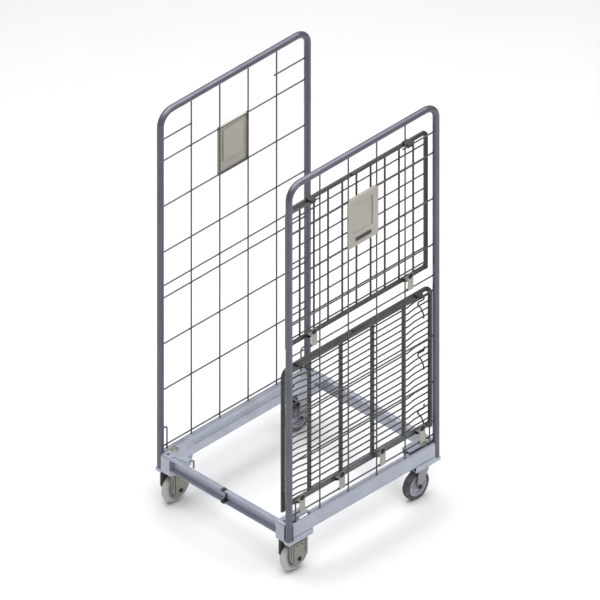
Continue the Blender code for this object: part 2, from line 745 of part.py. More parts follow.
def grip(name, length, bar_top, axis):
    """The long black finger grip on the outer face of a top bar."""
    seat = FRAME_OUT + GAP
    outline = [(seat, bar_top - 0.010), (seat + 0.006, bar_top - 0.010), (seat + 0.009, bar_top - 0.007)]
    outline += [(seat + 0.009, bar_top - 0.002), (seat + 0.007, bar_top), (seat, bar_top)]
    hold(paint(prism(name, outline, "Y", -length / 2, length / 2), black_plastic()), axis)


def flat_bar_section():
    half_thick, half_wide = FRAME_THICK / 2, FRAME_WIDTH / 2
    return [(-half_thick, -half_wide), (half_thick, -half_wide), (half_thick, half_wide), (-half_thick, half_wide)]


def deck_frame(axis):
    """End bars and top bar bent from one flat bar, a deeper top bar and the bottom bar."""
    crest = DECK_TOP - FRAME_WIDTH / 2
    ends = DECK_END_Y - FRAME_WIDTH / 2 + 0.001
    thick = (FRAME_IN, FRAME_OUT)
    corner = [(-DECK_END_Y, DECK_TAIL), (-DECK_END_Y, crest), (DECK_END_Y, crest), (DECK_END_Y, DECK_TAIL)]
    path = [(FOLD_X, y, z) for y, z in rounded(corner, DECK_CORNER, 5)]
    made = bar("deck_frame", path, [flat_bar_section()], (1, 0, 0), False)
    half = DECK_BOTTOM_BAR / 2
    fuse(made, [
        box("top", thick, (-0.350, 0.350), (DECK_TOP - DECK_TOP_BAR, DECK_TOP - 0.001)),
        box("bottom", thick, (-ends, ends), (DECK_BAR_Z - half, DECK_BAR_Z + half)),
    ])
    hold(paint(made, dark_steel()), axis)


def deck_grid(axis):
    """Four upright slats with the load wires welded across their outer faces."""
    thick = (FRAME_IN, FRAME_OUT)
    low = DECK_BAR_Z + DECK_BOTTOM_BAR / 2 + GAP
    high = DECK_TOP - DECK_TOP_BAR - GAP
    half = DECK_SLAT_WIDTH / 2
    pieces = [box("slat", thick, (y - half, y + half), (low, high)) for y in DECK_SLAT_YS]
    end = DECK_END_Y - FRAME_WIDTH / 2 - 4 * GAP
    for i in range(DECK_WIRES):
        z = DECK_WIRE_FIRST + i * DECK_WIRE_PITCH
        path = [(DECK_WIRE_END, -end, z), (DECK_WIRE_END, -0.312, z), (DECK_WIRE_OUT, -0.268, z)]
        path += [(x, -y, z) for x, y, z in path[::-1]]
        pieces.append(grid_rod(path, WIRE_R, (0, 0, 1)))
    first = pieces.pop(0)
    first.name = "deck_grid"
    hold(paint(fuse(first, pieces), dark_steel()), axis)


def deck_spring(name, z, axis):
    """A zigzag of bent wire that lies on the deck wires near their rear ends."""
    x = DECK_WIRE_END + WIRE_R + GAP + SPRING_WIRE_R
    bends = [(0.004, 0.049), (0.002, 0.032), (-0.027, 0.033), (-0.031, 0.024), (-0.012, -0.004)]
    bends += [(0.0, -0.035), (0.002, -0.056)]
    low = DECK_BAR_Z + DECK_BOTTOM_BAR / 2 + SPRING_WIRE_R
    high = DECK_TOP - DECK_TOP_BAR - SPRING_WIRE_R
    path = [(x, SPRING_Y + across, min(max(z + up, low), high)) for across, up in bends]
    hold(paint(rod(name, path, SPRING_WIRE_R, (1, 0, 0)), dark_steel()), axis)


def shelf_frame(axis):
    """The closed flat frame of the shelf."""
    crest = SHELF_TOP - SHELF_BAR / 2
    foot = SHELF_BAR_Z - SHELF_BAR / 2
    corner = [(-SHELF_END_Y, foot), (-SHELF_END_Y, crest), (SHELF_END_Y, crest), (SHELF_END_Y, foot)]
    path = [(FOLD_X, y, z) for y, z in rounded(corner, SHELF_CORNER, 4)]
    made = bar("shelf_frame", path, [flat_bar_section()], (1, 0, 0), False)
    ends = SHELF_END_Y - FRAME_WIDTH / 2 + 0.001
    bottom = box("bottom", (FRAME_IN, FRAME_OUT), (-ends, ends), (foot, foot + SHELF_BAR))
    hold(paint(fuse(made, [bottom]), dark_steel()), axis)


def shelf_grid(axis):
    """Upright rods with the cross wires welded on their outer side."""
    low = SHELF_BAR_Z + SHELF_BAR / 2 + GAP
    high = SHELF_TOP - SHELF_BAR / 2 - FRAME_WIDTH / 2 - GAP
    end = SHELF_END_Y - FRAME_WIDTH / 2 - GAP
    wire_x = FOLD_X + SHELF_ROD_R + WIRE_R - SHELF_WELD
    pieces = []
    for i in range(SHELF_RODS):
        y = (i - SHELF_RODS // 2) * SHELF_ROD_PITCH
        pieces.append(grid_rod([(FOLD_X, y, low), (FOLD_X, y, high)], SHELF_ROD_R, (1, 0, 0)))
    for i in range(SHELF_WIRES):
        z = SHELF_WIRE_FIRST + i * SHELF_WIRE_PITCH
        pieces.append(grid_rod([(wire_x, -end, z), (wire_x, end, z)], WIRE_R, (1, 0, 0)))
    first = pieces.pop(0)
    first.name = "shelf_grid"
    hold(paint(fuse(first, pieces), dark_steel()), axis)


def folding_deck():
    axis = empty("deck_axis", (HINGE_WIRE_X, 0, DECK_HINGE_WIRE_Z))
    deck_frame(axis)
    deck_grid(axis)
    for i, y in enumerate(DECK_HINGE_YS, 1):
        hinge_clip(f"deck_hinge_clip_{i}", y, DECK_BAR_Z, DECK_HINGE_WIRE_Z, axis)
    for end, y in zip(ENDS, DECK_CATCH_YS):
        deck_catch(f"deck_{end}_catch", y, axis)
    grip("deck_grip", DECK_GRIP, DECK_TOP, axis)
    for i, z in enumerate(SPRING_ZS, 1):
        deck_spring(f"deck_spring_{i}", z, axis)


def folding_shelf():
    axis = empty("shelf_axis", (HINGE_WIRE_X, 0, SHELF_HINGE_WIRE_Z))
    shelf_frame(axis)
    shelf_grid(axis)
    for end, y in zip(ENDS, SHELF_HINGE_YS):
        hinge_clip(f"shelf_{end}_hinge_clip", y, SHELF_BAR_Z, SHELF_HINGE_WIRE_Z, axis)
    for end, y in zip(ENDS, SHELF_CATCH_YS):
        shelf_catch(f"shelf_{end}_catch", y, axis)
    grip("shelf_grip", SHELF_GRIP, SHELF_TOP, axis)


def main():
    for obj in list(bpy.data.objects):
        bpy.data.objects.remove(obj)
    for side, sign in SIDES.items():
        panel_tube(side, sign)
        panel_wires(side, sign)
        card_holder(side, sign)
        rail(side, sign)
        fixed_caster(side, sign)
        swivel_caster(side, sign)
        for end, way in ENDS.items():
            corner_bracket(end, side, way, sign)
    for end, way in ENDS.items():
        crossbar(end, way)
    left_ledge()
    ledge_pin()
    crossbar_clip()
    folding_deck()
    folding_shelf()


main()
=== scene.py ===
"""The looks of the roll cage container: plated tubes, welded wires, sheet metal, rubber and plastic."""

import math

import bmesh
import bpy
from mathutils import Matrix, Vector


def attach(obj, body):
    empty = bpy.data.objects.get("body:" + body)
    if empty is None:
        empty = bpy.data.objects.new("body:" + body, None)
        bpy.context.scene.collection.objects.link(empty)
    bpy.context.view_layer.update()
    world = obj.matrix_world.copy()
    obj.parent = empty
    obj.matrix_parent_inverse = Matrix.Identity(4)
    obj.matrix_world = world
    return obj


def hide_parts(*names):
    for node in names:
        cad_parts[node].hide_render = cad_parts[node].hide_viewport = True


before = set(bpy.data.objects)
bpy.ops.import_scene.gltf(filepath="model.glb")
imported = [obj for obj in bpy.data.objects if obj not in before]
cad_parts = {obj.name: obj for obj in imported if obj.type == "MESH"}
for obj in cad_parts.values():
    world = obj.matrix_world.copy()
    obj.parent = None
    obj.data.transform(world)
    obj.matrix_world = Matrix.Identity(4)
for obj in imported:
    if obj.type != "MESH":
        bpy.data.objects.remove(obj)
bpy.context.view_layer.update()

SIDES = {"left": -1, "right": 1}
ENDS = {"front": -1, "rear": 1}
GAP = 0.0003  # between pieces that touch

# Side panels
PANEL_X = 0.3445
POST_Y = 0.394
TUBE_R = 0.0135
TUBE_WALL = 0.002
TUBE_TOP = 1.800
TUBE_BEND = 0.060
POST_FOOT = 0.165
WIRE_R = 0.003
CROSS_SHIFT = 0.005
UPRIGHT_YS = (-0.2285, -0.076, 0.076, 0.2285)
WIRE_PITCH = 0.2125
TOP_WIRE_Z = {"left": 1.5725, "right": 1.577}
MIDDLE_WIRE_Z = {"left": 0.9915, "right": 1.0078}
BOTTOM_WIRE_Z = {"left": 0.250, "right": 0.269}
STUB_Z = 1.672
STUB_END = 0.2205
CORNER_ROD_Z = 0.337
CORNER_ROD_Y = 0.359
WIRE_END = 0.3805
RAIL_TOP = 0.2365

# Base sheet metal
SHEET = 0.0025
RAIL_OUT = 0.3545
RAIL_BOTTOM = 0.175
RAIL_END = 0.3802
RAIL_SPLIT = 0.268
CROSSBAR_Y = 0.382
CROSSBAR_DEPTH = 0.0225
CROSSBAR_BOTTOM = 0.177
CROSSBAR_TOP = 0.2335
CROSSBAR_END = 0.2847
RIVET_X = 0.2850
RIVET_Y = 0.300
RIVET_ZS = (0.192, 0.219)

# Casters
CASTER_X = 0.3175
KINGPIN_Y = 0.347
CASTER_TOP = 0.1497
HOUSING_SHEET = 0.005
RACE_HEIGHT = 0.007
CROWN_HEIGHT = 0.006
STEM_HEAD = 0.0055
WHEEL_R = 0.0625
WHEEL_YS = {"front": -0.345, "rear": 0.312}
TYRE_HALF = 0.015
HUB_R = 0.0452
CHEEK_OUT = {"front": 0.0345, "rear": 0.0235}

# Deck and shelf
FOLD_X = 0.312
FRAME_IN = 0.3075
FRAME_OUT = 0.3165
FRAME_THICK = 0.009
FRAME_WIDTH = 0.018
HINGE_X = 0.3395
HINGE_WIDTH = 0.029
HINGE_SHEET = 0.0024
HINGE_EYE_RISE = 0.062
HINGE_FOOT = 0.009
DECK_END_Y = 0.394
DECK_TOP = 0.9475
DECK_TAIL = 0.286
DECK_CORNER = 0.034
DECK_BAR = (0.2925, 0.3165)
DECK_BAR_Z = 0.3045
DECK_TOP_BAR = (0.9185, 0.9465)
DECK_TOP_BAR_END = 0.352
DECK_SLAT_YS = (-0.253, -0.0845, 0.0845, 0.253)
DECK_WIRE_BEND = (0.268, 0.312)
DECK_WIRE_ZS = [0.331 + i * 0.0302 for i in range(20)]
DECK_HINGE_YS = (-0.322, -0.109, 0.109, 0.322)
DECK_CATCH_YS = {"front": -0.325, "rear": 0.315}
DECK_CATCH_Z = 0.9395
DECK_GRIP = 0.052
CATCH_MOUTH = 0.0038
CATCH_TIP = 0.345
SPRING_Y = 0.354
SPRING_ZS = (0.363, 0.629, 0.866)
SPRING_R = 0.003
SHELF_END_Y = 0.371
SHELF_TOP = 1.677
SHELF_CREST = SHELF_TOP - 0.010
SHELF_CORNER = 0.020
SHELF_FOOT = 1.0325
SHELF_BAR = (1.0325, 1.0525)
SHELF_BAR_Z = 1.0425
SHELF_ROD_R = 0.004
SHELF_ROD_YS = [(i - 4) * 0.076 for i in range(9)]
SHELF_WIRE_ZS = [1.071 + i * 0.0686 for i in range(9)]
SHELF_HINGE_YS = (-0.258, 0.258)
SHELF_CATCH_Y = 0.260
SHELF_GRIP = 0.066
RIB_PITCH = 0.006


# ---- node materials -------------------------------------------------------------------------------

def add(tree, kind, inputs=None, **settings):
    """A node with its settings; an input given as a socket is linked."""
    made = tree.nodes.new(kind)
    for name, value in settings.items():
        setattr(made, name, value)
    for name, value in (inputs or {}).items():
        if isinstance(value, bpy.types.NodeSocket):
            tree.links.new(value, made.inputs[name])
        else:
            made.inputs[name].default_value = value
    return made


def place(tree, stretch=(1, 1, 1)):
    """Coordinates fixed to the piece, stretched along one axis for drawn or rolled metal."""
    coords = add(tree, "ShaderNodeTexCoord")
    mapping = add(tree, "ShaderNodeMapping", {"Vector": coords.outputs["Object"], "Scale": stretch})
    return mapping.outputs["Vector"]


def noise(tree, vector, scale, detail=4.0, rough=0.5):
    made = add(tree, "ShaderNodeTexNoise",
               {"Vector": vector, "Scale": scale, "Detail": detail, "Roughness": rough})
    return made.outputs["Fac"]


def remap(tree, value, low, high, to_low, to_high):
    made = add(tree, "ShaderNodeMapRange", {"Value": value, "From Min": low, "From Max": high,
                                            "To Min": to_low, "To Max": to_high})
    return made.outputs["Result"]


def mix(tree, factor, first, second):
    """A blend of two colours by a factor socket."""
    made = add(tree, "ShaderNodeMix", data_type="RGBA")
    tree.links.new(factor, made.inputs[0])
    for index, value in ((6, first), (7, second)):
        if isinstance(value, bpy.types.NodeSocket):
            tree.links.new(value, made.inputs[index])
        else:
            made.inputs[index].default_value = (*value, 1.0)
    return made.outputs[2]


def shade(colour, factor):
    return tuple(min(channel * factor, 1.0) for channel in colour)


def start(name, metallic, roughness):
    made = bpy.data.materials.new(name)
    made.use_nodes = True
    tree = made.node_tree
    shader = tree.nodes["Principled BSDF"]
    shader.inputs["Metallic"].default_value = metallic
    shader.inputs["Roughness"].default_value = roughness
    return made, tree, shader


def plated(name, colour, metallic, roughness, stretch=(1, 1, 1), spangle=0.05, scuffs=0.5):
    """Plated steel: soft clouding, fine crystals, drawn grain, and scuffs that dull it."""
    made, tree, shader = start(name, metallic, roughness)
    steady = place(tree)
    drawn = place(tree, stretch)
    clouds = remap(tree, noise(tree, steady, 9.0, 5.0), 0.3, 0.7, 0.0, 1.0)
    base = mix(tree, clouds, shade(colour, 0.90), shade(colour, 1.07))
    cells = add(tree, "ShaderNodeTexVoronoi", {"Vector": steady, "Scale": 260.0})
    crystal = remap(tree, cells.outputs["Distance"], 0.0, 0.8, 0.0, spangle * 4)
    base = mix(tree, crystal, base, shade(colour, 0.72))
    scuff = remap(tree, noise(tree, drawn, 55.0, 6.0, 0.65), 0.60, 0.72, 0.0, scuffs)
    base = mix(tree, scuff, base, shade(colour, 0.66))
    tree.links.new(base, shader.inputs["Base Color"])
    grain = noise(tree, drawn, 420.0, 3.0)
    dull = remap(tree, noise(tree, steady, 24.0, 4.0), 0.3, 0.7, roughness - 0.07, roughness + 0.10)
    tree.links.new(dull, shader.inputs["Roughness"])
    bump = add(tree, "ShaderNodeBump", {"Height": grain, "Strength": 0.22, "Distance": 0.0002})
    tree.links.new(bump.outputs["Normal"], shader.inputs["Normal"])
    return made


def moulded(name, colour, roughness, grain=900.0, strength=0.3):
    """Moulded plastic or nylon: fine texture, faint flow marks and polished patches."""
    made, tree, shader = start(name, 0.0, roughness)
    steady = place(tree)
    flow = remap(tree, noise(tree, steady, 30.0, 3.0), 0.35, 0.65, 0.0, 1.0)
    base = mix(tree, flow, shade(colour, 0.86), shade(colour, 1.12))
    tree.links.new(base, shader.inputs["Base Color"])
    polish = remap(tree, noise(tree, steady, 60.0, 4.0), 0.3, 0.7, roughness - 0.08, roughness + 0.08)
    tree.links.new(polish, shader.inputs["Roughness"])
    texture = noise(tree, steady, grain, 3.0)
    bump = add(tree, "ShaderNodeBump", {"Height": texture, "Strength": strength, "Distance": 0.0002})
    tree.links.new(bump.outputs["Normal"], shader.inputs["Normal"])
    return made


def rolled_rubber(name, colour, roughness):
    """A wheel's rubber: floor dust in the pores and scuffs round the tread."""
    made, tree, shader = start(name, 0.0, roughness)
    steady = place(tree)
    dust = remap(tree, noise(tree, steady, 70.0, 6.0, 0.7), 0.50, 0.70, 0.0, 0.55)
    base = mix(tree, dust, colour, (0.34, 0.33, 0.31))
    patches = remap(tree, noise(tree, steady, 14.0, 3.0), 0.35, 0.65, 0.0, 0.35)
    base = mix(tree, patches, base, shade(colour, 0.75))
    tree.links.new(base, shader.inputs["Base Color"])
    pores = noise(tree, steady, 1100.0, 2.0)
    bump = add(tree, "ShaderNodeBump", {"Height": pores, "Strength": 0.4, "Distance": 0.0003})
    tree.links.new(bump.outputs["Normal"], shader.inputs["Normal"])
    return made


def painted(name, colour, roughness):
    """Sprayed paint: orange peel, a faint colour drift and rubbed patches."""
    made, tree, shader = start(name, 0.0, roughness)
    steady = place(tree)
    drift = remap(tree, noise(tree, steady, 6.0, 3.0), 0.35, 0.65, 0.0, 1.0)
    base = mix(tree, drift, shade(colour, 0.93), shade(colour, 1.05))
    rub = remap(tree, noise(tree, steady, 45.0, 6.0, 0.7), 0.62, 0.75, 0.0, 0.35)
    base = mix(tree, rub, base, shade(colour, 0.7))
    tree.links.new(base, shader.inputs["Base Color"])
    peel = noise(tree, steady, 380.0, 2.0)
    bump = add(tree, "ShaderNodeBump", {"Height": peel, "Strength": 0.15, "Distance": 0.0002})
    tree.links.new(bump.outputs["Normal"], shader.inputs["Normal"])
    shader.inputs["Coat Weight"].default_value = 0.15
    shader.inputs["Coat Roughness"].default_value = 0.3
    return made


def floor_finish():
    """A smooth pale studio floor with the faintest mottling."""
    made, tree, shader = start("studio_floor", 0.0, 0.9)
    steady = place(tree)
    mottle = remap(tree, noise(tree, steady, 3.0, 3.0), 0.3, 0.7, 0.0, 1.0)
    base = mix(tree, mottle, (0.800, 0.800, 0.803), (0.812, 0.812, 0.815))
    tree.links.new(base, shader.inputs["Base Color"])
    return made


ZINC_SHEET = plated("bright_zinc_sheet", (0.42, 0.445, 0.52), 0.55, 0.40, (1, 0.2, 1), 0.04, 0.35)
ZINC_TUBE = plated("bright_zinc_tube", (0.125, 0.125, 0.155), 0.60, 0.34, (1, 1, 0.05), 0.02, 0.30)
ZINC_WIRE = plated("bright_zinc_wire", (0.10, 0.10, 0.103), 0.60, 0.38, (1, 1, 0.2), 0.02, 0.40)
DARK_STEEL = plated("dark_zinc", (0.070, 0.070, 0.070), 0.50, 0.42, (1, 0.2, 1), 0.03, 0.40)
BOTTOM_BAR = plated("grey_zinc", (0.14, 0.14, 0.15), 0.50, 0.40, (1, 0.1, 1), 0.03, 0.40)
PRESSED = plated("passivated_steel", (0.27, 0.27, 0.235), 0.50, 0.42, (1, 1, 1), 0.04, 0.45)
CLIP_STEEL = plated("spring_clip_steel", (0.36, 0.35, 0.315), 0.55, 0.38, (1, 0.3, 1), 0.03, 0.40)
FORK_STEEL = plated("fork_zinc", (0.30, 0.30, 0.335), 0.50, 0.38, (1, 1, 0.4), 0.04, 0.40)
SPRING_STEEL = plated("dark_spring_wire", (0.034, 0.040, 0.034), 0.50, 0.42, (1, 0.3, 1), 0.02, 0.30)
BOLT_STEEL = plated("dark_bolt_steel", (0.032, 0.028, 0.027), 0.65, 0.36, (1, 1, 1), 0.02, 0.30)
BLACK_PLASTIC = moulded("black_plastic_grain", (0.024, 0.024, 0.025), 0.48)
HUB_NYLON = moulded("pale_nylon", (0.36, 0.36, 0.42), 0.46, 700.0, 0.2)
PALE_RUBBER = rolled_rubber("pale_rubber_tread", (0.50, 0.50, 0.485), 0.66)
DARK_RUBBER = rolled_rubber("dark_rubber_tread", (0.055, 0.055, 0.062), 0.70)
CARD_PAINT = painted("card_plate_paint", (0.385, 0.36, 0.315), 0.50)


# ---- shapes ---------------------------------------------------------------------------------------

def arc(centre, radius, begin, end, steps):
    points = []
    for i in range(steps + 1):
        angle = math.radians(begin + (end - begin) * i / steps)
        points.append((centre[0] + radius * math.cos(angle), centre[1] + radius * math.sin(angle)))
    return points


def rounded(points, radius, steps=8):
    """An open line with its inner corners rounded, in two or three dimensions."""
    line = [Vector(points[0])]
    for before, corner, after in zip(points, points[1:], points[2:]):
        before, corner, after = Vector(before), Vector(corner), Vector(after)
        inward = (before - corner).normalized()
        outward = (after - corner).normalized()
        half = inward.angle(outward) / 2
        reach = radius / math.tan(half)
        centre = corner + (inward + outward).normalized() * radius / math.sin(half)
        first = corner + inward * reach - centre
        last = corner + outward * reach - centre
        line += [centre + first.slerp(last, i / steps) * radius for i in range(steps + 1)]
    line.append(Vector(points[-1]))
    return line


def thickened(line, thickness):
    """A bent sheet's outline: an open line and its offset to the left."""
    line = [Vector(point) for point in line]
    shifted = []
    for i, point in enumerate(line):
        ahead = (line[min(i + 1, len(line) - 1)] - point).normalized()
        behind = (point - line[max(i - 1, 0)]).normalized()
        ahead = ahead if i + 1 < len(line) else behind
        behind = behind if i else ahead
        left = Vector((-ahead.y - behind.y, ahead.x + behind.x)).normalized()
        reach = thickness / max(left.dot(Vector((-ahead.y, ahead.x))), 0.3)
        shifted.append(point + left * reach)
    return line + shifted[::-1]


def circle(radius, sides):
    turn = 2 * math.pi / sides
    return [(radius * math.cos(turn * i), radius * math.sin(turn * i)) for i in range(sides)]


def soft_rectangle(half_a, half_b, radius, steps=3):
    """A bar's section with rolled edges."""
    points = []
    for quarter, (a, b) in enumerate(((1, 1), (-1, 1), (-1, -1), (1, -1))):
        middle = (a * (half_a - radius), b * (half_b - radius))
        points += arc(middle, radius, 90 * quarter, 90 * quarter + 90, steps)
    return points


def bar(bm, path, sections, normal):
    """Sections swept along a path that lies across the normal; a second section makes it hollow."""
    path = [Vector(point) for point in path]
    normal = Vector(normal)
    skins = []
    for section in sections:
        rings = []
        for i, point in enumerate(path):
            ahead = (path[min(i + 1, len(path) - 1)] - point).normalized()
            behind = (point - path[max(i - 1, 0)]).normalized()
            ahead = ahead if i + 1 < len(path) else behind
            behind = behind if i else ahead
            side = (ahead + behind).normalized().cross(normal)
            stretch = 1 / side.dot(ahead.cross(normal))
            rings.append([bm.verts.new(point + normal * a + side * b * stretch) for a, b in section])
        skins.append(rings)
        for ring, following in zip(rings, rings[1:]):
            for i in range(len(section)):
                j = (i + 1) % len(section)
                bm.faces.new((ring[i], ring[j], following[j], following[i]))
    for end in (0, -1):
        if len(skins) == 1:
            bm.faces.new(skins[0][end])
            continue
        outer, inner = skins[0][end], skins[1][end]
        for i in range(len(outer)):
            j = (i + 1) % len(outer)
            bm.faces.new((outer[i], outer[j], inner[j], inner[i]))


def rod(bm, path, radius, normal, sides=16):
    bar(bm, path, [circle(radius, sides)], normal)


def prism(bm, outline, axis, low, high):
    """A closed outline extruded along an axis."""
    order = {"X": (2, 0, 1), "Y": (0, 2, 1), "Z": (0, 1, 2)}[axis]
    loops = []
    for level in (low, high):
        loops.append([bm.verts.new([(p[0], p[1], level)[i] for i in order]) for p in outline])
    bm.faces.new(loops[0])
    bm.faces.new(loops[1][::-1])
    for i in range(len(outline)):
        j = (i + 1) % len(outline)
        bm.faces.new((loops[0][i], loops[1][i], loops[1][j], loops[0][j]))


def block(bm, xs, ys, zs):
    prism(bm, [(xs[0], ys[0]), (xs[1], ys[0]), (xs[1], ys[1]), (xs[0], ys[1])], "Z", *zs)


def turned(bm, profile, axis, centre, sides=64, closed=False):
    """A (radius, place along the axis) profile turned round an axis."""
    rings = []
    for radius, along in profile:
        ring = []
        for u, v in circle(radius, sides):
            local = (along, u, v) if axis == "X" else (u, v, along)
            ring.append(bm.verts.new(Vector(local) + Vector(centre)))
        rings.append(ring)
    pairs = list(zip(rings, rings[1:]))
    if closed:
        pairs.append((rings[-1], rings[0]))
    else:
        bm.faces.new(rings[0])
        bm.faces.new(rings[-1])
    for ring, following in pairs:
        for i in range(sides):
            j = (i + 1) % sides
            bm.faces.new((ring[i], ring[j], following[j], following[i]))


def nugget(bm, centre, radii):
    """A small round weld."""
    shape = Matrix.Translation(centre) @ Matrix.Diagonal((*radii, 1))
    bmesh.ops.create_icosphere(bm, subdivisions=2, radius=1.0, matrix=shape)


def piece(name, bm, body, material, nodes=(), bevel=0.0):
    """Makes the mesh a shaded piece that rides on a body and stands for its CAD nodes."""
    bmesh.ops.recalc_face_normals(bm, faces=bm.faces)
    mesh = bpy.data.meshes.new(name)
    bm.to_mesh(mesh)
    bm.free()
    mesh.shade_smooth()
    mesh.set_sharp_from_angle(angle=math.radians(35))
    obj = bpy.data.objects.new(name, mesh)
    bpy.context.scene.collection.objects.link(obj)
    mesh.materials.append(material)
    if bevel:
        soften(obj, bevel)
    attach(obj, body)
    if nodes:
        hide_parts(*nodes)


def soften(obj, width):
    """Rolled edges on a cut or pressed piece."""
    made = obj.modifiers.new("Edges", "BEVEL")
    made.width = width
    made.segments = 2
    made.limit_method = "ANGLE"
    made.angle_limit = math.radians(40)
    made.harden_normals = False


def keep(node, material, bevel=0.0):
    """A CAD node that stays, with its finish and softened edges."""
    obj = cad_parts[node]
    obj.data.materials.clear()
    obj.data.materials.append(material)
    if bevel:
        soften(obj, bevel)


# ---- side panels ----------------------------------------------------------------------------------

def panel_tube(side, sign):
    bm = bmesh.new()
    corners = [(-POST_Y, POST_FOOT), (-POST_Y, TUBE_TOP), (POST_Y, TUBE_TOP), (POST_Y, POST_FOOT)]
    path = [(sign * PANEL_X, y, z) for y, z in rounded(corners, TUBE_BEND, 16)]
    bar(bm, path, [circle(TUBE_R, 40), circle(TUBE_R - TUBE_WALL, 40)], (1, 0, 0))
    piece(f"{side}_bent_tube", bm, "base", ZINC_TUBE, [f"{side}_panel_tube"])


def panel_wires(side, sign):
    """Round wires with a weld at each crossing and at each end on the posts."""
    bm = bmesh.new()
    x = sign * PANEL_X
    cross_x = x - CROSS_SHIFT
    foot, head = RAIL_TOP, TUBE_TOP - TUBE_R
    weld_x = (x + cross_x) / 2
    for y in UPRIGHT_YS:
        rod(bm, [(x, y, foot), (x, y, head)], WIRE_R, (1, 0, 0))
        nugget(bm, (x, y, foot + 0.001), (0.0044, 0.0044, 0.0026))
        nugget(bm, (x, y, head - 0.001), (0.0044, 0.0044, 0.0026))
    heights = [TOP_WIRE_Z[side] - i * WIRE_PITCH for i in range(6)]
    for z in (*heights, MIDDLE_WIRE_Z[side], BOTTOM_WIRE_Z[side]):
        rod(bm, [(cross_x, -WIRE_END, z), (cross_x, WIRE_END, z)], WIRE_R, (1, 0, 0))
        for y in UPRIGHT_YS:
            nugget(bm, (weld_x, y, z), (0.0040, 0.0040, 0.0040))
        for way in (-1, 1):
            nugget(bm, (cross_x, way * WIRE_END, z), (0.0040, 0.0022, 0.0042))
    for way in (-1, 1):
        rod(bm, [(cross_x, way * STUB_END, STUB_Z), (cross_x, way * WIRE_END, STUB_Z)], WIRE_R, (1, 0, 0))
        nugget(bm, (weld_x, way * UPRIGHT_YS[-1], STUB_Z), (0.0040, 0.0040, 0.0040))
        nugget(bm, (cross_x, way * WIRE_END, STUB_Z), (0.0040, 0.0022, 0.0042))
        bend = [(x, way * WIRE_END, CORNER_ROD_Z), (x, way * CORNER_ROD_Y, CORNER_ROD_Z),
                (x, way * CORNER_ROD_Y, foot)]
        rod(bm, rounded(bend, 0.010), WIRE_R, (1, 0, 0))
        nugget(bm, (x, way * WIRE_END, CORNER_ROD_Z), (0.0042, 0.0024, 0.0042))
        nugget(bm, (x, way * CORNER_ROD_Y, foot + 0.001), (0.0044, 0.0044, 0.0026))
    piece(f"{side}_wire_mesh", bm, "base", ZINC_WIRE, [f"{side}_panel_wires"])


# ---- base -----------------------------------------------------------------------------------------

def rail(side, sign):
    """The folded rail with its round outer edge, land, step and inner web, open over the casters."""
    edge = arc((RAIL_OUT - 0.008, RAIL_TOP - 0.008), 0.008, 0, 90, 12)
    lower = [(0.331, RAIL_BOTTOM), (RAIL_OUT, RAIL_BOTTOM), *edge, (0.3425, RAIL_TOP)]
    full = [*lower, (0.334, 0.228), (0.318, 0.228), (0.318, 0.205)]
    short = [*lower, (0.3375, 0.2315)]
    bm = bmesh.new()
    for low, high, line in ((-RAIL_END, -RAIL_SPLIT, short), (-RAIL_SPLIT, RAIL_SPLIT, full),
                            (RAIL_SPLIT, RAIL_END, short)):
        outline = [(sign * x, z) for x, z in thickened(line, SHEET)]
        prism(bm, outline, "Y", low, high)
    piece(f"{side}_folded_rail", bm, "base", ZINC_SHEET, [f"{side}_rail"], 0.0004)


def crossbar(end, way):
    front = CROSSBAR_Y + CROSSBAR_DEPTH
    line = [(front, CROSSBAR_TOP), (CROSSBAR_Y, CROSSBAR_TOP)]
    line += [(CROSSBAR_Y, CROSSBAR_BOTTOM), (front, CROSSBAR_BOTTOM)]
    outline = [(way * y, z) for y, z in thickened(rounded(line, 0.004, 6), SHEET)]
    bm = bmesh.new()
    prism(bm, outline, "X", -CROSSBAR_END, CROSSBAR_END)
    piece(f"{end}_channel", bm, "base", ZINC_SHEET, [f"{end}_crossbar"], 0.0004)


def bracket_fasteners():
    """Domed rivets where the corner brackets meet the crossbars and rails."""
    bm = bmesh.new()
    for sign in SIDES.values():
        for way in ENDS.values():
            for z in RIVET_ZS:
                dome = [(0.0055, 0.0), (0.0052, 0.0012), (0.0040, 0.0024), (0.0018, 0.0031)]
                centre = (sign * RIVET_X, way * RIVET_Y, z)
                turned(bm, [(r, -sign * a) for r, a in dome], "X", centre, 20)
    piece("bracket_rivets", bm, "base", CLIP_STEEL)


# ---- casters --------------------------------------------------------------------------------------

